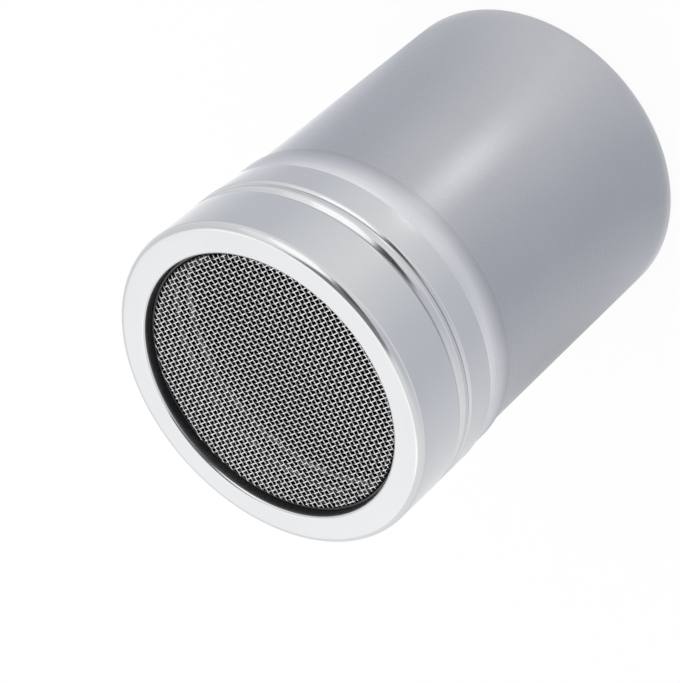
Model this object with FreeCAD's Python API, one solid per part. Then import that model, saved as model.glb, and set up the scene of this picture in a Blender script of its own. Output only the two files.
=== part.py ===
import FreeCAD, Part
import math
import os

# Spice shaker with a wire screen in its screw lid, standing upright with the screen at the top.
# Millimetres. The origin is the middle of the base, +Z runs up through the screen.

# Overall
TOTAL_HEIGHT = 94.0
SHEET = 0.5
RUNNING_GAP = 0.05

# Rounded corners are turned as short cones, none further than this from the true arc
ROUNDING_ERROR = 0.1

# Canister: a drawn cup with a recessed base
CANISTER_RADIUS = 34.0
BASE_CORNER_RADIUS = 1.5
FOOT_RING_WIDTH = 4.5
BASE_RECESS_DEPTH = 1.2

# Neck collar: a spun ring pressed over the canister's mouth
COLLAR_FIT_GAP = 0.1
COLLAR_SHOWING = 7.15
COLLAR_SKIRT_HEIGHT = 1.5
SHOULDER_RADIUS = 8.0
SHOULDER_ANGLE = 45.0
NECK_INSET = 3.1
RIM_WIDTH = 2.0

# Lid shell: flange, skirt and rolled bead
LID_OVERHANG = 0.4
LID_HEIGHT = 23.35
LID_CORNER_RADIUS = 1.7
FLANGE_WIDTH = 6.45
LIP_RADIUS = 0.8
LIP_DEPTH = 4.4
BEAD_BELOW_FACE = 15.28
BEAD_CREST_RADIUS = 1.5
BEAD_SLOPE = 48.0
UPPER_GROOVE_DEPTH = 1.05
LOWER_GROOVE_DEPTH = 0.5
GROOVE_EDGE_RADIUS = 0.95

# Thread sleeve: the lid's inner ring, gripped by the upper groove
SLEEVE_SHEET = 0.4
SLEEVE_SETBACK = 0.8

# Screen: wire cloth lying on a channel ring, whose groove takes the turned-down edge
WIRE = 0.28
WARP_PITCH = 0.91
WEFT_PITCH = 1.21
SCREEN_RECESS = 1.6
WIRE_END_GAP = 0.1
RING_SHEET = 0.5
RING_WIDTH = 2.0

# Places that follow from the sizes above
LID_BOTTOM = TOTAL_HEIGHT - LID_HEIGHT
LIP_END = TOTAL_HEIGHT - LIP_DEPTH
SLEEVE_TOP = LIP_END
COLLAR_BOTTOM = LID_BOTTOM - COLLAR_SHOWING
COLLAR_RADIUS = CANISTER_RADIUS + COLLAR_FIT_GAP + SHEET
NECK_RADIUS = COLLAR_RADIUS - NECK_INSET
NECK_TOP = SLEEVE_TOP - SLEEVE_SHEET - RUNNING_GAP
SHOULDER_FOOT = COLLAR_BOTTOM + COLLAR_SKIRT_HEIGHT
SHOULDER_CENTRE = COLLAR_RADIUS - SHOULDER_RADIUS
SHOULDER_CORNER = SHOULDER_FOOT + SHOULDER_RADIUS * math.tan(math.radians(SHOULDER_ANGLE / 2))
NECK_ROOT = SHOULDER_CORNER + NECK_INSET / math.tan(math.radians(SHOULDER_ANGLE))
LID_RADIUS = COLLAR_RADIUS + LID_OVERHANG
OPENING_RADIUS = LID_RADIUS - FLANGE_WIDTH
SLEEVE_RADIUS = LID_RADIUS - UPPER_GROOVE_DEPTH - SHEET - RUNNING_GAP
RING_RADIUS = OPENING_RADIUS - RUNNING_GAP
RING_INNER_RADIUS = RING_RADIUS - RING_WIDTH
RING_BOTTOM = SLEEVE_TOP + RUNNING_GAP
WIRE_REACH = RING_RADIUS - RING_SHEET - WIRE_END_GAP
WEFT_LEVEL = TOTAL_HEIGHT - SCREEN_RECESS - WIRE
WARP_LEVEL = WEFT_LEVEL - WIRE


def unit(a, b):
    """Direction from one profile corner to the next."""
    length = math.hypot(b[0] - a[0], b[1] - a[1])
    return (b[0] - a[0]) / length, (b[1] - a[1]) / length


def offset_profile(corners, distance):
    """The same run of corners moved sideways by a sheet's thickness, to the left of its direction."""
    moved = []
    count = len(corners)
    for i, corner in enumerate(corners):
        before = unit(corners[max(i, 1) - 1], corners[max(i, 1)])
        after = unit(corners[min(i, count - 2)], corners[min(i, count - 2) + 1])
        turn = before[0] * after[1] - before[1] * after[0]
        spread = distance / (1 + before[0] * after[0] + before[1] * after[1])
        r = corner[0] - (before[1] + after[1]) * spread
        z = corner[1] + (before[0] + after[0]) * spread
        inner = corner[2] - math.copysign(distance, turn)
        moved.append((r, z, max(inner, 0.0)))
    return moved


def rounded_corner(before, corner, after):
    """A profile corner given as radius, height and corner radius, as the ends of its chords."""
    arrive = unit(before, corner)
    leave = unit(corner, after)
    cross = arrive[0] * leave[1] - arrive[1] * leave[0]
    along = arrive[0] * leave[0] + arrive[1] * leave[1]
    turn = math.atan2(cross, along)
    radius = corner[2]
    if radius * (1 / math.cos(turn / 2) - 1) <= ROUNDING_ERROR:
        return [corner[:2]]
    chord_turn = 2 * math.acos(1 - ROUNDING_ERROR / radius)
    count = math.ceil(abs(turn) / chord_turn)
    side = math.copysign(radius, turn)
    reach = radius * math.tan(abs(turn) / 2)
    centre_r = corner[0] - arrive[0] * reach - arrive[1] * side
    centre_z = corner[1] - arrive[1] * reach + arrive[0] * side
    heading = math.atan2(arrive[1], arrive[0])
    points = []
    for i in range(count + 1):
        angle = heading + turn * i / count
        points.append((centre_r + side * math.sin(angle), centre_z - side * math.cos(angle)))
    return points


def rounded_points(corners):
    """All the points of a profile, with each of its corners rounded."""
    points = [corners[0][:2]]
    for before, corner, after in zip(corners, corners[1:], corners[2:]):
        points += rounded_corner(before, corner, after)
    points.append(corners[-1][:2])
    return points


def spun_sheet(corners, thickness):
    """A turned sheet-metal piece: a rounded profile with its thickness on the left, spun about Z."""
    outline = rounded_points(corners) + rounded_points(offset_profile(corners, thickness))[::-1]
    points = [FreeCAD.Vector(r, 0, z) for r, z in outline]
    face = Part.Face(Part.makePolygon(points + points[:1]))
    return face.revolve(FreeCAD.Vector(0, 0, 0), FreeCAD.Vector(0, 0, 1), 360)


def canister_top():
    """Where the canister's mouth meets the inside of the collar's shoulder."""
    inner_radius = SHOULDER_RADIUS - SHEET
    reach = (CANISTER_RADIUS - SHOULDER_CENTRE) / inner_radius
    return SHOULDER_FOOT + inner_radius * math.sin(math.acos(reach)) - RUNNING_GAP


def make_canister():
    """Drawn cup, from the middle of its recessed base, over the foot ring and up the wall."""
    foot_inner = CANISTER_RADIUS - BASE_CORNER_RADIUS - FOOT_RING_WIDTH
    return spun_sheet([
        (0.0, BASE_RECESS_DEPTH, 0.0),
        (foot_inner - BASE_RECESS_DEPTH, BASE_RECESS_DEPTH, 0.0),
        (foot_inner, 0.0, 0.0),
        (CANISTER_RADIUS, 0.0, BASE_CORNER_RADIUS),
        (CANISTER_RADIUS, canister_top(), 0.0),
    ], SHEET)


def make_neck_collar():
    """Skirt over the canister's mouth, rounded shoulder, neck and turned-in rim."""
    return spun_sheet([
        (COLLAR_RADIUS, COLLAR_BOTTOM, 0.0),
        (COLLAR_RADIUS, SHOULDER_CORNER, SHOULDER_RADIUS),
        (NECK_RADIUS, NECK_ROOT, 0.0),
        (NECK_RADIUS, NECK_TOP, 0.0),
        (NECK_RADIUS - RIM_WIDTH, NECK_TOP, 0.0),
    ], SHEET)


def make_lid_shell():
    """Skirt with its rolled bead between two grooves, flange, and lip turned in round the screen."""
    bead = TOTAL_HEIGHT - BEAD_BELOW_FACE
    slope = math.tan(math.radians(BEAD_SLOPE))
    crest = LID_RADIUS + BEAD_CREST_RADIUS * (1 / math.cos(math.radians(BEAD_SLOPE)) - 1)
    lower_root = LID_RADIUS - LOWER_GROOVE_DEPTH
    upper_root = LID_RADIUS - UPPER_GROOVE_DEPTH
    lower = bead - (crest - lower_root) / slope
    upper = bead + (crest - upper_root) / slope
    return spun_sheet([
        (LID_RADIUS, LID_BOTTOM, 0.0),
        (LID_RADIUS, lower - LOWER_GROOVE_DEPTH / slope, GROOVE_EDGE_RADIUS),
        (lower_root, lower, 0.0),
        (crest, bead, BEAD_CREST_RADIUS),
        (upper_root, upper, 0.0),
        (LID_RADIUS, upper + UPPER_GROOVE_DEPTH / slope, GROOVE_EDGE_RADIUS),
        (LID_RADIUS, TOTAL_HEIGHT, LID_CORNER_RADIUS),
        (OPENING_RADIUS, TOTAL_HEIGHT, LIP_RADIUS),
        (OPENING_RADIUS, LIP_END, 0.0),
    ], SHEET)


def make_thread_sleeve():
    """Inner ring of the lid, with a shelf at its top that holds the screen up against the lip."""
    return spun_sheet([
        (SLEEVE_RADIUS, LID_BOTTOM + SLEEVE_SETBACK, 0.0),
        (SLEEVE_RADIUS, SLEEVE_TOP, 0.0),
        (RING_INNER_RADIUS - RUNNING_GAP, SLEEVE_TOP, 0.0),
    ], SLEEVE_SHEET)


def make_screen_ring():
    """Channel ring, open upwards, with the wires lying across its inner wall."""
    return spun_sheet([
        (RING_INNER_RADIUS, WARP_LEVEL, 0.0),
        (RING_INNER_RADIUS, RING_BOTTOM, 0.0),
        (RING_RADIUS, RING_BOTTOM, 0.0),
        (RING_RADIUS, WARP_LEVEL, 0.0),
    ], RING_SHEET)


def make_wires(pitch, level):
    """All the wires of one direction, along X, side by side at their pitch across the screen."""
    wires = []
    side_count = int((WIRE_REACH - WIRE) / pitch)
    for i in range(-side_count, side_count + 1):
        offset = i * pitch
        half_length = math.sqrt(WIRE_REACH ** 2 - (abs(offset) + WIRE / 2) ** 2)
        corner = FreeCAD.Vector(-half_length, offset - WIRE / 2, level)
        wires.append(Part.makeBox(2 * half_length, WIRE, WIRE, corner))
    return wires


def make_weft():
    """The upper wires of the screen, along X."""
    return Part.makeCompound(make_wires(WEFT_PITCH, WEFT_LEVEL))


def make_warp():
    """The lower wires of the screen, along Y."""
    warp = Part.makeCompound(make_wires(WARP_PITCH, WARP_LEVEL))
    warp.rotate(FreeCAD.Vector(0, 0, 0), FreeCAD.Vector(0, 0, 1), 90)
    return warp


NODES = {
    "canister_body": make_canister,
    "neck_collar": make_neck_collar,
    "lid_shell": make_lid_shell,
    "lid_thread_sleeve": make_thread_sleeve,
    "screen_binding_ring": make_screen_ring,
    "screen_warp_wires": make_warp,
    "screen_weft_wires": make_weft,
}

os.makedirs("parts", exist_ok=True)
for name, make in NODES.items():
    make().exportStep("parts/%s.step" % name)
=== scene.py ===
import math

import bpy
import numpy as np
from mathutils import Euler, Matrix, Vector


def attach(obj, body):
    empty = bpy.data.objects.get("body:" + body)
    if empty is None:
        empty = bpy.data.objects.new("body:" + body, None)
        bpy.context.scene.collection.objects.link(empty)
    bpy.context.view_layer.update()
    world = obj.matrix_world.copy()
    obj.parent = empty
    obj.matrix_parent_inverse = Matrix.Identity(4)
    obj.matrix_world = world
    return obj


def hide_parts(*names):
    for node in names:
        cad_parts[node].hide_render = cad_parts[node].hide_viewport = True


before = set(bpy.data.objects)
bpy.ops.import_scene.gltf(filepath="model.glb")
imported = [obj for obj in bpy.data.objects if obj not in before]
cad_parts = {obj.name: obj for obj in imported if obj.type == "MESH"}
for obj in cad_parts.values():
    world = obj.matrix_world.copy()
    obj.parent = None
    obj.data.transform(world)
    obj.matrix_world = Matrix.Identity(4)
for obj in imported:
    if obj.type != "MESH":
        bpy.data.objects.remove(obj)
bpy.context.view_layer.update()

# Driving sizes of the real object in millimetres, the same as in the CAD source
MM = 0.001
TOTAL_HEIGHT = 94.0
SHEET = 0.5
RUNNING_GAP = 0.05

CANISTER_RADIUS = 34.0
BASE_CORNER_RADIUS = 1.5
FOOT_RING_WIDTH = 4.5
BASE_RECESS_DEPTH = 1.2

COLLAR_FIT_GAP = 0.1
COLLAR_SHOWING = 7.15
COLLAR_SKIRT_HEIGHT = 1.5
SHOULDER_RADIUS = 8.0
SHOULDER_ANGLE = math.radians(45)
NECK_INSET = 3.1
RIM_WIDTH = 2.0

LID_OVERHANG = 0.4
LID_HEIGHT = 23.35
LID_CORNER_RADIUS = 1.7
FLANGE_WIDTH = 6.45
LIP_RADIUS = 0.8
LIP_DEPTH = 4.4
BEAD_BELOW_FACE = 15.28
BEAD_CREST_RADIUS = 1.5
BEAD_SLOPE = math.radians(48)
UPPER_GROOVE_DEPTH = 1.05
LOWER_GROOVE_DEPTH = 0.5
GROOVE_EDGE_RADIUS = 0.95

SLEEVE_SHEET = 0.4
SLEEVE_SETBACK = 0.8
RING_WIDTH = 2.0
SCREEN_RECESS = 1.6
STRAIGHT_WIRE = 0.28
WIRE_END_GAP = 0.1

# Small forms that the CAD leaves out: bend radii, broken edges and the slight taper of the lid's foot
BASE_BEND_RADIUS = 0.8
NECK_BEND_RADIUS = 1.0
RIM_BEND_RADIUS = 0.9
SLEEVE_BEND_RADIUS = 1.2
RING_BEND_RADIUS = 0.5
CUT_EDGE = 0.12
LEAST_BEND_RADIUS = 0.05
LID_FOOT_TURN_IN = 0.02

# The screen's wires, crimped over and under each other
WIRE = 0.24
WEFT_CRIMP = 0.07
WARP_CRIMP = 0.165
WARP_PITCH = 0.91
WEFT_PITCH = 1.21
WEAVE_SKEW = 0.038
WEFT_REACH = 27.8
WARP_REACH = 27.45
WIRE_BEND = 0.35

# The rolled thread of the neck and of the lid's sleeve
THREAD_PITCH = 4.0
THREAD_WIDTH = 1.9
THREAD_HEIGHT = 1.25
THREAD_RANGE = (74.2, 86.6)
THREAD_FADE = 1.2

# Places that follow from the sizes above
LID_BOTTOM = TOTAL_HEIGHT - LID_HEIGHT
LIP_END = TOTAL_HEIGHT - LIP_DEPTH
BEAD_MIDDLE = TOTAL_HEIGHT - BEAD_BELOW_FACE
COLLAR_RADIUS = CANISTER_RADIUS + COLLAR_FIT_GAP + SHEET
COLLAR_BOTTOM = LID_BOTTOM - COLLAR_SHOWING
SHOULDER_FOOT = COLLAR_BOTTOM + COLLAR_SKIRT_HEIGHT
SHOULDER_CORNER = SHOULDER_FOOT + SHOULDER_RADIUS * math.tan(SHOULDER_ANGLE / 2)
NECK_RADIUS = COLLAR_RADIUS - NECK_INSET
NECK_ROOT = SHOULDER_CORNER + NECK_INSET / math.tan(SHOULDER_ANGLE)
NECK_TOP = LIP_END - SLEEVE_SHEET - RUNNING_GAP
LID_RADIUS = COLLAR_RADIUS + LID_OVERHANG
OPENING_RADIUS = LID_RADIUS - FLANGE_WIDTH
SLEEVE_RADIUS = LID_RADIUS - UPPER_GROOVE_DEPTH - SHEET - RUNNING_GAP
RING_RADIUS = OPENING_RADIUS - RUNNING_GAP
RING_INNER_RADIUS = RING_RADIUS - RING_WIDTH
RING_BOTTOM = LIP_END + RUNNING_GAP
RING_TOP = TOTAL_HEIGHT - SCREEN_RECESS - 2 * STRAIGHT_WIRE
WEAVE_LEVEL = RING_TOP + STRAIGHT_WIRE
WIRE_END = RING_BOTTOM + SHEET + WIRE_END_GAP

# Fineness of the meshes: steps round and along, and the angles from which an edge is sharp
ROUND_STEPS = 256
ARC_STEP = math.radians(7.5)
PLAIN_STEP = 4.0
THREADED_STEP = 0.22
SHEET_SHARP_ANGLE = math.radians(32)
WIRE_SHARP_ANGLE = math.radians(60)
WIRE_SIDES = 8
WIRE_BEND_STEPS = 4
STEPS_PER_CRIMP = 5

# The photograph's camera: place in millimetres, turn in degrees, lens and film height in millimetres
CAMERA_PLACE = (116.354, -410.318, 437.721)
CAMERA_TURN = (-37.7928, 34.6241, -127.5816)
CAMERA_LENS = 154.304
CAMERA_FILM_HEIGHT = 36.0
CAMERA_AZIMUTH = math.degrees(math.atan2(CAMERA_PLACE[1], CAMERA_PLACE[0]))


# Shapes of turned sheet

def direction(a, b):
    """Unit vector from one profile corner to the next."""
    step = np.array(b[:2]) - np.array(a[:2])
    return step / np.linalg.norm(step)


def corner_points(before, corner, after):
    """The points of one profile corner given as radius, height and corner radius."""
    here = np.array(corner[:2])
    arrive = direction(before, corner)
    leave = direction(corner, after)
    turn = math.atan2(arrive[0] * leave[1] - arrive[1] * leave[0], arrive @ leave)
    radius = corner[2]
    if radius <= 0 or abs(turn) < 1e-4:
        return [tuple(here)]
    reach = radius * math.tan(abs(turn) / 2)
    side = math.copysign(radius, turn)
    centre = here - arrive * reach + side * np.array([-arrive[1], arrive[0]])
    heading = math.atan2(arrive[1], arrive[0])
    count = max(2, math.ceil(abs(turn) / ARC_STEP))
    points = []
    for i in range(count + 1):
        angle = heading + turn * i / count
        points.append((centre[0] + side * math.sin(angle), centre[1] - side * math.cos(angle)))
    return points


def offset_corners(corners, distance):
    """The same run of corners moved sideways by a sheet's thickness, to the left of its direction."""
    moved = []
    last = len(corners) - 1
    for i, (r, z, corner_radius) in enumerate(corners):
        before = direction(corners[max(i, 1) - 1], corners[max(i, 1)])
        after = direction(corners[min(i, last - 1)], corners[min(i, last - 1) + 1])
        turn = before[0] * after[1] - before[1] * after[0]
        spread = distance / (1 + before @ after)
        radius = corner_radius - math.copysign(distance, turn) if corner_radius > 0 else 0.0
        moved.append((
            r - (before[1] + after[1]) * spread,
            z + (before[0] + after[0]) * spread,
            max(radius, LEAST_BEND_RADIUS),
        ))
    return moved


def sheet_outline(corners, thickness):
    """Outline of a turned sheet with its cut edges just broken, and whether it closes on itself."""
    inner = offset_corners(corners, thickness)[::-1]
    first, last = corners[0], corners[-1]
    run = [*corners[:-1], (*last[:2], CUT_EDGE), (*inner[0][:2], CUT_EDGE), *inner[1:-1]]
    if first[0] == 0:
        run.append((*inner[-1][:2], 0.0))
        outline = [run[0][:2]]
        for before, corner, after in zip(run, run[1:], run[2:]):
            outline += corner_points(before, corner, after)
        outline.append(run[-1][:2])
        return outline, False
    run[0] = (*first[:2], CUT_EDGE)
    run.append((*inner[-1][:2], CUT_EDGE))
    outline = []
    for i, corner in enumerate(run):
        outline += corner_points(run[i - 1], corner, run[(i + 1) % len(run)])
    outline.append(outline[0])
    return outline, True


def divided(outline, longest):
    """The outline with its long runs divided into steps."""
    points = [outline[0]]
    for a, b in zip(outline, outline[1:]):
        length = math.dist(a, b)
        if length < 1e-6:
            continue
        count = max(1, math.ceil(length / longest))
        for k in range(1, count + 1):
            points.append((a[0] + (b[0] - a[0]) * k / count, a[1] + (b[1] - a[1]) * k / count))
    return points


def new_object(name, vertices, faces, sharp_angle):
    mesh = bpy.data.meshes.new(name)
    mesh.from_pydata(vertices, [], faces)
    mesh.validate()
    mesh.shade_smooth()
    mesh.set_sharp_from_angle(angle=sharp_angle)
    piece = bpy.data.objects.new(name, mesh)
    bpy.context.scene.collection.objects.link(piece)
    return piece


def spin(name, profile, closed, thread):
    """Surface of revolution about Z. thread gives the radial move for a height and an angle."""
    angles = np.linspace(0, 2 * math.pi, ROUND_STEPS, endpoint=False)
    vertices = []
    rows = []
    for r, z in profile:
        start = len(vertices)
        if r < 1e-9:
            rows.append([start] * ROUND_STEPS)
            vertices.append((0.0, 0.0, z * MM))
            continue
        rows.append(list(range(start, start + ROUND_STEPS)))
        for angle in angles:
            reach = r + (thread(z, angle) if thread else 0.0)
            vertices.append((reach * MM * math.cos(angle), reach * MM * math.sin(angle), z * MM))
    faces = []
    count = len(rows)
    for i in range(count if closed else count - 1):
        low, high = rows[i], rows[(i + 1) % count]
        for k in range(ROUND_STEPS):
            n = (k + 1) % ROUND_STEPS
            corners = list(dict.fromkeys((low[k], low[n], high[n], high[k])))
            if len(corners) > 2:
                faces.append(corners)
    return new_object(name, vertices, faces, SHEET_SHARP_ANGLE)


def spun_sheet(name, corners, thickness, longest, thread=None):
    """A turned sheet-metal piece: corners of radius, height and corner radius, thickness on the left."""
    outline, closed = sheet_outline(corners, thickness)
    profile = divided(outline, longest)
    if closed:
        profile.pop()
    return spin(name, profile, closed, thread)


def thread_ridge(z, angle, shift):
    """How far the rolled thread stands out, from 0 to 1, along a right-hand helix."""
    phase = (z / THREAD_PITCH - angle / (2 * math.pi) - shift) % 1.0
    away = min(phase, 1 - phase) * THREAD_PITCH / (THREAD_WIDTH / 2)
    if away >= 1:
        return 0.0
    low, high = THREAD_RANGE
    fade = min((z - low) / THREAD_FADE, (high - z) / THREAD_FADE, 1.0)
    return max(fade, 0.0) * math.cos(away * math.pi / 2) ** 2


def neck_thread(z, angle):
    return THREAD_HEIGHT * thread_ridge(z, angle, 0.0)


def sleeve_thread(z, angle):
    """The same ridge rolled inwards, half a pitch away from the neck's."""
    return -THREAD_HEIGHT * thread_ridge(z, angle, 0.5)


# Shapes of the woven wires

def tube(path, side, vertices, faces):
    """Adds a round wire along a path of points that bends only across the side vector."""
    path = np.array(path)
    tangent = np.gradient(path, axis=0)
    tangent /= np.linalg.norm(tangent, axis=1)[:, None]
    up = np.cross(tangent, side)
    start = len(vertices)
    for p, u in zip(path, up):
        for k in range(WIRE_SIDES):
            angle = 2 * math.pi * (k + 0.5) / WIRE_SIDES
            offset = (math.cos(angle) * side + math.sin(angle) * u) * WIRE / 2
            vertices.append(tuple((p + offset) * MM))
    for i in range(len(path) - 1):
        a = start + i * WIRE_SIDES
        for k in range(WIRE_SIDES):
            n = (k + 1) % WIRE_SIDES
            faces.append((a + k, a + n, a + WIRE_SIDES + n, a + WIRE_SIDES + k))
    end = start + (len(path) - 1) * WIRE_SIDES
    faces.append(tuple(start + k for k in range(WIRE_SIDES))[::-1])
    faces.append(tuple(end + k for k in range(WIRE_SIDES)))


def wire_path(half, crimp_pitch, phase, lift, shift):
    """Heights along one woven wire: crimped over and under its neighbours, both ends turned down."""
    bend_start = half - WIRE_BEND
    bend_level = WEAVE_LEVEL - WIRE_BEND
    ending = [(half, WIRE_END), (half, (WIRE_END + bend_level) / 2)]
    for k in range(WIRE_BEND_STEPS + 1):
        angle = math.pi / 2 * k / WIRE_BEND_STEPS
        ending.append((bend_start + WIRE_BEND * math.cos(angle), bend_level + WIRE_BEND * math.sin(angle)))
    points = [(-x, z) for x, z in ending]
    count = max(2, round(2 * bend_start / crimp_pitch * STEPS_PER_CRIMP))
    for k in range(1, count):
        x = bend_start * (2 * k / count - 1)
        ease = min(1.0, (bend_start - abs(x)) / crimp_pitch)
        wave = math.cos(math.pi * ((x + shift) / crimp_pitch + phase))
        points.append((x, WEAVE_LEVEL + lift * ease * wave))
    return points + ending[::-1]


def woven_wires(name, reach, pitch, crimp_pitch, lift, run, skew):
    """All the wires of one direction of the screen. run is along them, skew moves their crimps."""
    vertices, faces = [], []
    run = np.array(run) / np.linalg.norm(run)
    side = np.cross((0.0, 0.0, 1.0), run)
    side_count = int(reach / pitch)
    for i in range(-side_count, side_count + 1):
        offset = i * pitch
        half = math.sqrt(reach ** 2 - offset ** 2)
        path = [run * x + side * offset + np.array([0.0, 0.0, z])
                for x, z in wire_path(half, crimp_pitch, i, lift, -offset * skew)]
        tube(path, side, vertices, faces)
    return new_object(name, vertices, faces, WIRE_SHARP_ANGLE)


# Building blocks of the materials

# Noise scales of the metal's clouds and grain, and the height of its relief in millimetres
CLOUD_SCALE = 45.0
GRAIN_SCALE = 2600.0
RELIEF_HEIGHT = 0.02


def empty_tree(owner):
    """The node tree of a material or of the world, with its default nodes taken out."""
    owner.use_nodes = True
    owner.node_tree.nodes.clear()
    return owner.node_tree


def node(tree, kind, **settings):
    made = tree.nodes.new(kind)
    for key, value in settings.items():
        setattr(made, key, value)
    return made


def math_node(tree, operation, a, b=0):
    made = node(tree, "ShaderNodeMath", operation=operation)
    for socket, value in zip(made.inputs, (a, b)):
        if isinstance(value, (int, float)):
            socket.default_value = value
        else:
            tree.links.new(value, socket)
    return made.outputs[0]


def weighted_sum(tree, a, a_weight, b, b_weight):
    return math_node(tree, "ADD", math_node(tree, "MULTIPLY", a, a_weight),
                     math_node(tree, "MULTIPLY", b, b_weight))


def axis_distance(tree, x, y):
    square = math_node(tree, "ADD", math_node(tree, "MULTIPLY", x, x), math_node(tree, "MULTIPLY", y, y))
    return math_node(tree, "SQRT", square)


def split(tree, vector):
    """The X, Y and Z of a vector."""
    made = node(tree, "ShaderNodeSeparateXYZ")
    tree.links.new(vector, made.inputs[0])
    return made.outputs


def grey(tree, value):
    """A colour with the same value in red, green and blue."""
    made = node(tree, "ShaderNodeCombineColor")
    for socket in made.inputs:
        tree.links.new(value, socket)
    return made.outputs[0]


def noise(tree, vector, scale, detail, roughness=0.5):
    made = node(tree, "ShaderNodeTexNoise")
    made.inputs["Scale"].default_value = scale
    made.inputs["Detail"].default_value = detail
    made.inputs["Roughness"].default_value = roughness
    tree.links.new(vector, made.inputs["Vector"])
    return made.outputs["Fac"]


def span(tree, value, low, high, out_low, out_high):
    """Maps low to high onto out_low to out_high, and stops at both ends."""
    made = node(tree, "ShaderNodeMapRange")
    tree.links.new(value, made.inputs["Value"])
    for key, number in (("From Min", low), ("From Max", high), ("To Min", out_low), ("To Max", out_high)):
        made.inputs[key].default_value = number
    return made.outputs["Result"]


def turned_lines(tree, x, y, z, density):
    """Noise drawn out into fine lines round the axis, which drift a little on their way round."""
    drift = 6.0
    across = node(tree, "ShaderNodeCombineXYZ")
    tree.links.new(weighted_sum(tree, axis_distance(tree, x, y), density, x, drift), across.inputs[0])
    tree.links.new(weighted_sum(tree, z, density, y, drift), across.inputs[1])
    return noise(tree, across.outputs[0], 1.0, 4.0, 0.65)


def crossing_hairlines(tree, place):
    """A few fine scratches that cross the turned lines, 1 on a scratch and 0 beside it."""
    stretch = node(tree, "ShaderNodeMapping")
    stretch.inputs["Rotation"].default_value = (0.5, 0.9, 0.35)
    stretch.inputs["Scale"].default_value = (55.0, 2600.0, 140.0)
    tree.links.new(place, stretch.inputs["Vector"])
    return span(tree, noise(tree, stretch.outputs[0], 1.0, 1.0), 0.70, 0.76, 0.0, 1.0)


def cloudy_colour(tree, colour, cloudiness, lines, clouds):
    """The metal's colour, a little darker and lighter from line to line and from cloud to cloud."""
    tone = node(tree, "ShaderNodeMix", data_type="RGBA", blend_type="MIX")
    tone.inputs[6].default_value = (*[c * (1 - cloudiness) for c in colour], 1)
    tone.inputs[7].default_value = (*[min(c * (1 + cloudiness), 1) for c in colour], 1)
    mixed = weighted_sum(tree, lines, 0.6, clouds, 0.4)
    tree.links.new(span(tree, mixed, 0.35, 0.65, 0.0, 1.0), tone.inputs[0])
    return tone.outputs[2]


def multiplied(tree, colour, value):
    """The colour times a value."""
    shade = node(tree, "ShaderNodeMix", data_type="RGBA", blend_type="MULTIPLY")
    shade.inputs[0].default_value = 1.0
    tree.links.new(colour, shade.inputs[6])
    tree.links.new(grey(tree, value), shade.inputs[7])
    return shade.outputs[2]


def spun_steel(name, colour, roughness, line_density, line_strength, anisotropy, cloudiness, scratch,
               shaded=None, metallic=1.0):
    """Turned or spun steel: fine lines round the axis, cloudy sheen, a few crossing hairlines.
    shaded gives a value that the colour is multiplied by, from place to place, for painted light and shade."""
    material = bpy.data.materials.new(name)
    tree = empty_tree(material)
    out = node(tree, "ShaderNodeOutputMaterial")
    shader = node(tree, "ShaderNodeBsdfPrincipled")
    tree.links.new(shader.outputs[0], out.inputs["Surface"])
    shader.inputs["Metallic"].default_value = metallic

    place = node(tree, "ShaderNodeTexCoord").outputs["Object"]
    x, y, z = split(tree, place)
    lines = turned_lines(tree, x, y, z, line_density)
    clouds = noise(tree, place, CLOUD_SCALE, 3.0)
    grain = noise(tree, place, GRAIN_SCALE, 2.0, 0.6)
    hairlines = crossing_hairlines(tree, place)

    finish = cloudy_colour(tree, colour, cloudiness, lines, clouds)
    if shaded:
        finish = multiplied(tree, finish, shaded(tree, place, z))
    tree.links.new(finish, shader.inputs["Base Color"])

    rough = math_node(tree, "ADD", span(tree, lines, 0.3, 0.7, roughness * 0.88, roughness * 1.12),
                      span(tree, clouds, 0.3, 0.7, -0.02, 0.02))
    rough = math_node(tree, "ADD", rough, math_node(tree, "MULTIPLY", hairlines, scratch * 0.12))
    tree.links.new(rough, shader.inputs["Roughness"])

    relief = weighted_sum(tree, lines, 1.0, grain, 0.25)
    relief = math_node(tree, "SUBTRACT", relief, math_node(tree, "MULTIPLY", hairlines, scratch))
    bump = node(tree, "ShaderNodeBump")
    bump.inputs["Strength"].default_value = line_strength
    bump.inputs["Distance"].default_value = RELIEF_HEIGHT * MM
    tree.links.new(relief, bump.inputs["Height"])
    tree.links.new(bump.outputs[0], shader.inputs["Normal"])
    if anisotropy:
        tangent = node(tree, "ShaderNodeTangent", direction_type="RADIAL", axis="Z")
        tree.links.new(tangent.outputs[0], shader.inputs["Tangent"])
        shader.inputs["Anisotropic"].default_value = anisotropy
        shader.inputs["Anisotropic Rotation"].default_value = 0.25
    return material


# Painted light and shade that change the metal's tone from place to place

def painted_groove_shade(tree, place, z):
    """Painted shade on the faces that look down under the bead and under the edge of the groove above it."""
    grooves_middle = BEAD_MIDDLE + 0.48
    normal = split(tree, node(tree, "ShaderNodeNewGeometry").outputs["Normal"])
    faces_down = span(tree, normal[2], -0.12, -0.45, 0.0, 1.0)
    from_bead = math_node(tree, "ABSOLUTE", math_node(tree, "SUBTRACT", z, grooves_middle * MM))
    beside_bead = span(tree, from_bead, 2.6 * MM, 3.0 * MM, 1.0, 0.0)
    return span(tree, math_node(tree, "MULTIPLY", faces_down, beside_bead), 0.0, 1.0, 1.0, 0.50)


def collar_painted_light(tree, place, z):
    """Painted light and shade: as dark as the brushed canister at the collar's lower edge, painted brighter
    towards the lid, where the shoulder turns up to the light.
    """
    uneven = math_node(tree, "MULTIPLY", math_node(tree, "SUBTRACT", noise(tree, place, 160.0, 3.0), 0.5),
                       1.2 * MM)
    height = math_node(tree, "ADD", z, uneven)
    return math_node(tree, "MULTIPLY", span(tree, height, 63.8 * MM, 67.0 * MM, 0.69, 1.0),
                     span(tree, height, 67.4 * MM, 70.0 * MM, 1.0, 1.14))


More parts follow.
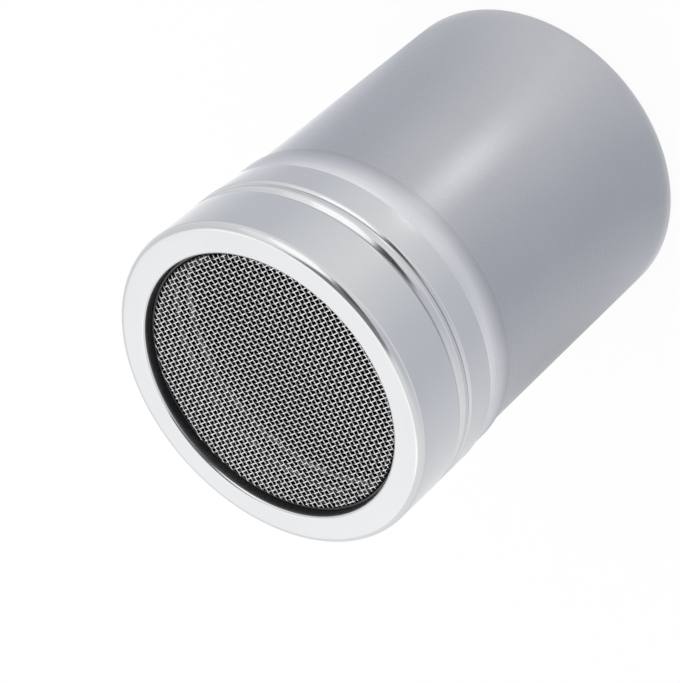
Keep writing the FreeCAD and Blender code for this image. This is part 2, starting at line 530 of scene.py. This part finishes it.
def wire_painted_light(slope_axis, slope_shade_tone):
    """Painted light on drawn wire: bright on top, with painted shade down its sides and on the slopes that
    face along one axis.
    """
    def finish(tree, place, z):
        normal = split(tree, node(tree, "ShaderNodeTexCoord").outputs["Normal"])
        side_shade = span(tree, normal[2], 0.05, 0.75, 0.10, 1.0)
        slope_shade = span(tree, normal[slope_axis], 0.0, 0.22, 1.0, slope_shade_tone)
        return math_node(tree, "MULTIPLY", side_shade, slope_shade)
    return finish


satin = spun_steel("satin_steel", (0.480, 0.488, 0.512), roughness=0.28, line_density=9000.0,
                   line_strength=0.35, anisotropy=0.55, cloudiness=0.05, scratch=0.25)
# The collar's colour carries painted light and shade from its lower edge up to the lid.
collar_steel = spun_steel("collar_steel", (0.655, 0.658, 0.683), roughness=0.33, line_density=7000.0,
                          line_strength=0.35, anisotropy=0.3, cloudiness=0.05, scratch=0.3,
                          shaded=collar_painted_light)
# The lid's colour carries painted shade under the bead and its groove.
polished = spun_steel("polished_steel", (0.638, 0.644, 0.655), roughness=0.16, line_density=6000.0,
                      line_strength=0.16, anisotropy=0.35, cloudiness=0.035, scratch=0.35,
                      shaded=painted_groove_shade)
# The wires' colours carry painted light on top and painted shade on their sides and slopes.
weft_steel = spun_steel("weft_steel", (0.90, 0.90, 0.915), roughness=0.2, line_density=2500.0,
                        line_strength=0.25, anisotropy=0.0, cloudiness=0.08, scratch=0.4,
                        shaded=wire_painted_light(slope_axis=0, slope_shade_tone=0.45), metallic=0.5)
warp_steel = spun_steel("warp_steel", (0.95, 0.95, 0.965), roughness=0.2, line_density=2500.0,
                        line_strength=0.25, anisotropy=0.0, cloudiness=0.05, scratch=0.4,
                        shaded=wire_painted_light(slope_axis=1, slope_shade_tone=0.12), metallic=0.3)
# Near-black steel on the faces inside the canister, the collar and the lid: painted shade.
inside_painted_shade = spun_steel("inside_painted_shade", (0.115, 0.115, 0.12), roughness=0.45, line_density=4000.0,
                          line_strength=0.3, anisotropy=0.0, cloudiness=0.12, scratch=0.2)


# The pieces of the shaker

def dress(piece, body, materials, replaced_node):
    for material in materials:
        piece.data.materials.append(material)
    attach(piece, body)
    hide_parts(replaced_node)


def looks_inwards(centre, normal, share):
    """Whether a face looks towards the axis with more than this share of its direction."""
    return normal.x * centre.x + normal.y * centre.y < -share * math.hypot(centre.x, centre.y)


def shade_inside(piece, share, floor_level=None):
    """Gives the second material, the painted shade, to the faces that look into the container. Where
    floor_level is given, they are the faces above it that look inwards or up."""
    for polygon in piece.data.polygons:
        centre, normal = polygon.center / MM, polygon.normal
        inside = looks_inwards(centre, normal, share)
        if floor_level is not None:
            inside = centre.z > floor_level and (inside or normal.z > 0.5)
        if inside:
            polygon.material_index = 1


def canister_top():
    """Where the canister's mouth meets the inside of the collar's shoulder."""
    inner_radius = SHOULDER_RADIUS - SHEET
    reach = (CANISTER_RADIUS - (COLLAR_RADIUS - SHOULDER_RADIUS)) / inner_radius
    return SHOULDER_FOOT + inner_radius * math.sin(math.acos(reach)) - RUNNING_GAP


def make_canister():
    foot_inner = CANISTER_RADIUS - BASE_CORNER_RADIUS - FOOT_RING_WIDTH
    piece = spun_sheet("canister_skin", [
        (0.0, BASE_RECESS_DEPTH, 0.0),
        (foot_inner - BASE_RECESS_DEPTH, BASE_RECESS_DEPTH, BASE_BEND_RADIUS),
        (foot_inner, 0.0, BASE_BEND_RADIUS),
        (CANISTER_RADIUS, 0.0, BASE_CORNER_RADIUS),
        (CANISTER_RADIUS, canister_top(), 0.0),
    ], SHEET, PLAIN_STEP)
    dress(piece, "canister", (satin, inside_painted_shade), "canister_body")
    shade_inside(piece, 0.2, floor_level=0.9 * SHEET)


def make_neck_collar():
    piece = spun_sheet("neck_collar_skin", [
        (COLLAR_RADIUS, COLLAR_BOTTOM, 0.0),
        (COLLAR_RADIUS, SHOULDER_CORNER, SHOULDER_RADIUS),
        (NECK_RADIUS, NECK_ROOT, NECK_BEND_RADIUS),
        (NECK_RADIUS, NECK_TOP, RIM_BEND_RADIUS),
        (NECK_RADIUS - RIM_WIDTH, NECK_TOP, 0.0),
    ], SHEET, THREADED_STEP, neck_thread)
    dress(piece, "canister", (collar_steel, inside_painted_shade), "neck_collar")
    shade_inside(piece, 0.5)


def make_lid_shell():
    slope = math.tan(BEAD_SLOPE)
    crest = LID_RADIUS + BEAD_CREST_RADIUS * (1 / math.cos(BEAD_SLOPE) - 1)
    lower_root = LID_RADIUS - LOWER_GROOVE_DEPTH
    upper_root = LID_RADIUS - UPPER_GROOVE_DEPTH
    lower = BEAD_MIDDLE - (crest - lower_root) / slope
    upper = BEAD_MIDDLE + (crest - upper_root) / slope
    piece = spun_sheet("lid_skin", [
        (LID_RADIUS - LID_FOOT_TURN_IN, LID_BOTTOM, 0.0),
        (LID_RADIUS, lower - LOWER_GROOVE_DEPTH / slope, GROOVE_EDGE_RADIUS),
        (lower_root, lower, 0.0),
        (crest, BEAD_MIDDLE, BEAD_CREST_RADIUS),
        (upper_root, upper, 0.0),
        (LID_RADIUS, upper + UPPER_GROOVE_DEPTH / slope, GROOVE_EDGE_RADIUS),
        (LID_RADIUS, TOTAL_HEIGHT, LID_CORNER_RADIUS),
        (OPENING_RADIUS, TOTAL_HEIGHT, LIP_RADIUS),
        (OPENING_RADIUS, LIP_END, 0.0),
    ], SHEET, PLAIN_STEP)
    dress(piece, "lid", (polished, inside_painted_shade), "lid_shell")
    shade_inside(piece, 0.8)


def make_thread_sleeve():
    piece = spun_sheet("thread_sleeve_skin", [
        (SLEEVE_RADIUS, LID_BOTTOM + SLEEVE_SETBACK, 0.0),
        (SLEEVE_RADIUS, LIP_END, SLEEVE_BEND_RADIUS),
        (RING_INNER_RADIUS - RUNNING_GAP, LIP_END, 0.0),
    ], SLEEVE_SHEET, THREADED_STEP, sleeve_thread)
    dress(piece, "lid", (inside_painted_shade,), "lid_thread_sleeve")


def make_screen_ring():
    piece = spun_sheet("screen_ring_skin", [
        (RING_INNER_RADIUS, RING_TOP, 0.0),
        (RING_INNER_RADIUS, RING_BOTTOM, RING_BEND_RADIUS),
        (RING_RADIUS, RING_BOTTOM, RING_BEND_RADIUS),
        (RING_RADIUS, RING_TOP, 0.0),
    ], SHEET, PLAIN_STEP)
    dress(piece, "screen_ring", (inside_painted_shade,), "screen_binding_ring")


def make_screen_wires():
    weft = woven_wires("woven_weft_wires", WEFT_REACH, WEFT_PITCH, WARP_PITCH, -WEFT_CRIMP,
                       run=(1.0, -WEAVE_SKEW, 0.0), skew=0.0)
    dress(weft, "lid", (weft_steel,), "screen_weft_wires")
    warp = woven_wires("woven_warp_wires", WARP_REACH, WARP_PITCH, WEFT_PITCH, WARP_CRIMP,
                       run=(0.0, 1.0, 0.0), skew=WEAVE_SKEW)
    dress(warp, "lid", (warp_steel,), "screen_warp_wires")


make_canister()
make_neck_collar()
make_lid_shell()
make_thread_sleeve()
make_screen_ring()
make_screen_wires()


# Camera, white background and floor

def make_camera():
    """The photograph's place, tilt and lens."""
    data = bpy.data.cameras.new("photo_camera")
    data.sensor_fit = "VERTICAL"
    data.sensor_height = CAMERA_FILM_HEIGHT
    data.lens = CAMERA_LENS
    data.clip_start = 0.05
    data.clip_end = 20.0
    camera = bpy.data.objects.new("photo_camera", data)
    turn = Euler([math.radians(angle) for angle in CAMERA_TURN])
    camera.matrix_world = Matrix.Translation(Vector(CAMERA_PLACE) * MM) @ turn.to_matrix().to_4x4()
    bpy.context.scene.collection.objects.link(camera)
    bpy.context.scene.camera = camera


def seen_as_background(tree):
    """1 for rays from the camera, off metal or through glass, 0 for the light that falls on things."""
    path = node(tree, "ShaderNodeLightPath")
    most = math_node(tree, "MAXIMUM", path.outputs["Is Camera Ray"], path.outputs["Is Glossy Ray"])
    return math_node(tree, "MAXIMUM", most, path.outputs["Is Transmission Ray"])


def make_world():
    world = bpy.data.worlds.new("studio")
    bpy.context.scene.world = world
    tree = empty_tree(world)
    out = node(tree, "ShaderNodeOutputWorld")
    background = node(tree, "ShaderNodeBackground")
    tree.links.new(background.outputs[0], out.inputs["Surface"])
    tree.links.new(span(tree, seen_as_background(tree), 0.0, 1.0, 0.98, 1.0), background.inputs["Strength"])
    background.inputs["Color"].default_value = (1, 1, 1, 1)


def mix_shaders(tree, share, first, second):
    made = node(tree, "ShaderNodeMixShader")
    tree.links.new(share, made.inputs[0])
    tree.links.new(first.outputs[0], made.inputs[1])
    tree.links.new(second.outputs[0], made.inputs[2])
    return made


def pale_paper():
    """White paper that glows where it is seen as the background, and is clear from below."""
    material = bpy.data.materials.new("pale_floor")
    tree = empty_tree(material)
    out = node(tree, "ShaderNodeOutputMaterial")
    paper = node(tree, "ShaderNodeBsdfDiffuse")
    place = node(tree, "ShaderNodeTexCoord").outputs["Object"]
    fibre = span(tree, noise(tree, place, 180.0, 4.0), 0.3, 0.7, 0.90, 0.94)
    tree.links.new(grey(tree, fibre), paper.inputs["Color"])
    glow = node(tree, "ShaderNodeEmission")
    glow.inputs["Strength"].default_value = 1.0
    glow_share = span(tree, seen_as_background(tree), 0.0, 1.0, 0.0, 0.92)
    from_above = mix_shaders(tree, glow_share, paper, glow)
    backfacing = node(tree, "ShaderNodeNewGeometry").outputs["Backfacing"]
    one_sided = mix_shaders(tree, backfacing, from_above, node(tree, "ShaderNodeBsdfTransparent"))
    tree.links.new(one_sided.outputs[0], out.inputs["Surface"])
    return material


def make_floor():
    """A wide sheet of paper just under the foot ring."""
    half = 4.0
    mesh = bpy.data.meshes.new("floor")
    corners = [(-half, -half, 0), (half, -half, 0), (half, half, 0), (-half, half, 0)]
    mesh.from_pydata(corners, [], [(0, 1, 2, 3)])
    floor = bpy.data.objects.new("floor", mesh)
    floor.location.z = -0.2 * MM
    bpy.context.scene.collection.objects.link(floor)
    mesh.materials.append(pale_paper())


# Lamps and the cards that the metal mirrors. Azimuths are in degrees from the camera's own.

# What the lamps aim at and the dark covers are centred on, in metres
LAMP_TARGET = Vector((0, 0, 0.06))
COVER_MIDDLE = Vector((0, 0, 0.08))

# Azimuth and elevation in degrees, distance, width and height in metres, and radiance
SOFTBOXES = {
    "softbox_back": (180, 46, 1.2, 1.5, 0.9, 0.23),
    "softbox_strip": (180, 57, 1.15, 1.6, 0.2, 0.18),
    "softbox_right": (49, 44, 0.9, 0.48, 0.80, 0.27),
    "softbox_right_glow": (57, 41, 1.05, 0.95, 1.1, 0.11),
}
WATTS_PER_RADIANCE = 4

# Edges of the two dark covers as azimuths and elevations
OVERHEAD_EDGE = (
    (-47, 62), (-28, 56), (-11, 49), (4, 41), (11, 34), (15, 30), (20, 34), (28, 57), (68, 70), (143, 65),
    (160, 60), (171, 66), (180, 72.5), (-149, 72.5), (-132, 75.5), (-100, 77), (-62, 71),
)
CEILING_EDGE = (
    (-47, 63), (-28, 58), (-11, 57), (4, 53), (14, 49), (24, 60), (68, 71), (143, 66), (160, 61), (171, 67),
    (180, 73.5), (-149, 73.5), (-132, 76.5), (-100, 78), (-62, 72),
)

# Inner and outer edge of the ring cards as radius and height in metres, and the steps round them
TABLE_EDGES = ((0.0352, 0.0004), (0.35, 0.0004))
WALL_EDGES = ((2.0, 0.02), (2.0, 2.75))
RING_STEPS = 96

# Azimuths and tones of the ring cards, and the gains of the table's tones close to the shaker
TABLE_TONES = (
    (-180, 0.90), (-165, 0.90), (-150, 0.90), (-110, 0.88), (-80, 0.81), (-50, 0.70), (-25, 0.74), (0, 0.87),
    (10, 0.94), (20, 0.97), (45, 0.88), (70, 0.76), (95, 0.74), (118, 0.83), (142, 1.04), (152, 1.25),
    (166, 1.05), (180, 0.90),
)
TABLE_NEAR_GAINS = (
    (-180, 0.9), (-140, 0.80), (-125, 0.70), (-112, 0.70), (-97, 0.84), (-80, 0.93), (-40, 0.96), (0, 1.02),
    (22, 1.06), (40, 1.05), (60, 1.02), (95, 1.0), (108, 1.12), (118, 1.16), (127, 1.4), (136, 1.75),
    (148, 1.6), (160, 1.0), (180, 0.9),
)
WALL_TONES = (
    (-180, 1.0), (-130, 1.05), (-85, 1.02), (-60, 0.86), (-42, 0.74), (-20, 0.74), (5, 1.0), (80, 1.0),
    (100, 0.92), (120, 0.88), (150, 0.93), (180, 1.0),
)

# A ramp's colours end at 1, so it holds tones as shares of this one, which the card's strength gives back
TONE_LIMIT = 2.0
DARK_TONE_BLUE = 0.12

# The table's bright streak: azimuth, half its width, and the distances from the axis, in metres,
# over which it rises and fades. The last range is where the near gains give way to the plain tones.
STREAK_AZIMUTH = 18
STREAK_HALF_WIDTH = 13
STREAK_GAIN = 1.15
STREAK_RISE = (0.066, 0.088)
STREAK_FADE = (0.093, 0.099)
NEAR_RANGE = (0.07, 0.108)


def around(azimuth, elevation, distance):
    """A place round the shaker, with azimuth counted from the camera's own."""
    a, e = math.radians(CAMERA_AZIMUTH + azimuth), math.radians(elevation)
    return Vector((math.cos(e) * math.cos(a), math.cos(e) * math.sin(a), math.sin(e))) * distance


def softbox(name, azimuth, elevation, distance, width, height, radiance):
    data = bpy.data.lights.new(name, "AREA")
    data.shape = "RECTANGLE"
    data.size = width
    data.size_y = height
    data.energy = radiance * WATTS_PER_RADIANCE * width * height
    lamp = bpy.data.objects.new(name, data)
    lamp.location = LAMP_TARGET + around(azimuth, elevation, distance)
    lamp.rotation_euler = (LAMP_TARGET - lamp.location).to_track_quat("-Z", "Y").to_euler()
    bpy.context.scene.collection.objects.link(lamp)


def hidden_card(name, mesh, tone):
    """A glowing stage piece that shows only in reflections. Gives the piece and its glow node."""
    piece = bpy.data.objects.new(name, mesh)
    bpy.context.scene.collection.objects.link(piece)
    finish = bpy.data.materials.new(name)
    tree = empty_tree(finish)
    out = node(tree, "ShaderNodeOutputMaterial")
    glow = node(tree, "ShaderNodeEmission")
    glow.inputs["Strength"].default_value = tone
    tree.links.new(glow.outputs[0], out.inputs["Surface"])
    mesh.materials.append(finish)
    piece.visible_camera = False
    piece.visible_diffuse = False
    piece.visible_shadow = False
    piece.visible_transmission = False
    return piece, glow


def hood(name, edge, distance, tone):
    """A dark cover over the shaker, its edge given as azimuths and elevations, seen only in the metal."""
    mesh = bpy.data.meshes.new(name)
    rim = [COVER_MIDDLE + around(azimuth, elevation, distance) for azimuth, elevation in edge]
    top = COVER_MIDDLE + Vector((0, 0, distance))
    mesh.from_pydata([top, *rim], [], [(0, i + 1, (i + 1) % len(rim) + 1) for i in range(len(rim))])
    hidden_card(name, mesh, tone)


def tone_ramp(tree, turn, tones, blue):
    """The tones given for azimuths, read at the angle turn. The darker, the bluer."""
    ramp = node(tree, "ShaderNodeValToRGB")
    tree.links.new(span(tree, turn, -math.pi, math.pi, 0.0, 1.0), ramp.inputs[0])
    stops = ramp.color_ramp.elements
    while len(stops) > 1:
        stops.remove(stops[0])
    for i, (azimuth, tone) in enumerate(tones):
        position = (azimuth + 180) / 360
        stop = stops[0] if i == 0 else stops.new(position)
        stop.position = position
        share = tone / TONE_LIMIT
        tint = blue * max(0.0, 1 - tone)
        stop.color = (share * (1 - tint), share, share * (1 + 2 * tint), 1)
    return ramp.outputs[0]


def tone_ring(name, inner, outer, tones):
    """A ring card round the shaker whose tone changes with the azimuth counted from the camera's.
    inner and outer are each a radius and a height. Gives the card's glow node, and its x, y and azimuth."""
    mesh = bpy.data.meshes.new(name)
    angles = [2 * math.pi * k / RING_STEPS for k in range(RING_STEPS)]
    rims = [(r * math.cos(angle), r * math.sin(angle), z) for r, z in (inner, outer) for angle in angles]
    faces = []
    for k in range(RING_STEPS):
        n = (k + 1) % RING_STEPS
        faces.append((k, n, RING_STEPS + n, RING_STEPS + k))
    mesh.from_pydata(rims, [], faces)
    piece, glow = hidden_card(name, mesh, TONE_LIMIT)
    piece.rotation_euler.z = math.radians(CAMERA_AZIMUTH)
    tree = glow.id_data
    x, y, _ = split(tree, node(tree, "ShaderNodeTexCoord").outputs["Object"])
    turn = math_node(tree, "ARCTAN2", y, x)
    tree.links.new(tone_ramp(tree, turn, tones, DARK_TONE_BLUE), glow.inputs["Color"])
    return glow, x, y, turn


def streak_gain(tree, reach, turn):
    """The extra tone of the bright streak, which fades to both sides and to both ends."""
    off_streak = math_node(tree, "SUBTRACT", turn, math.radians(STREAK_AZIMUTH))
    near = span(tree, math_node(tree, "ABSOLUTE", off_streak), 0.0, math.radians(STREAK_HALF_WIDTH),
                STREAK_GAIN, 0.0)
    rise = span(tree, reach, *STREAK_RISE, 0.0, 1.0)
    fade = span(tree, reach, *STREAK_FADE, 1.0, 0.0)
    return math_node(tree, "MULTIPLY", near, math_node(tree, "MULTIPLY", rise, fade))


def make_table():
    """The table that the metal mirrors, with its own tones close to the shaker."""
    glow, x, y, turn = tone_ring("card_table", *TABLE_EDGES, TABLE_TONES)
    tree = glow.id_data
    reach = axis_distance(tree, x, y)
    near_gain = math_node(tree, "MULTIPLY", tone_ramp(tree, turn, TABLE_NEAR_GAINS, 0.0), TONE_LIMIT)
    gain = node(tree, "ShaderNodeMix", data_type="FLOAT")
    tree.links.new(span(tree, reach, *NEAR_RANGE, 0.0, 1.0), gain.inputs[0])
    tree.links.new(near_gain, gain.inputs[2])
    gain.inputs[3].default_value = 1.0
    gain = math_node(tree, "ADD", streak_gain(tree, reach, turn), gain.outputs[0])
    tree.links.new(math_node(tree, "MULTIPLY", gain, TONE_LIMIT), glow.inputs["Strength"])


make_camera()
bpy.context.scene.view_settings.view_transform = "Standard"
make_world()
make_floor()
for name, values in SOFTBOXES.items():
    softbox(name, *values)
hood("card_overhead", OVERHEAD_EDGE, distance=2.0, tone=0.05)
hood("card_ceiling", CEILING_EDGE, distance=1.9, tone=0.25)
make_table()
tone_ring("card_wall", *WALL_EDGES, WALL_TONES)
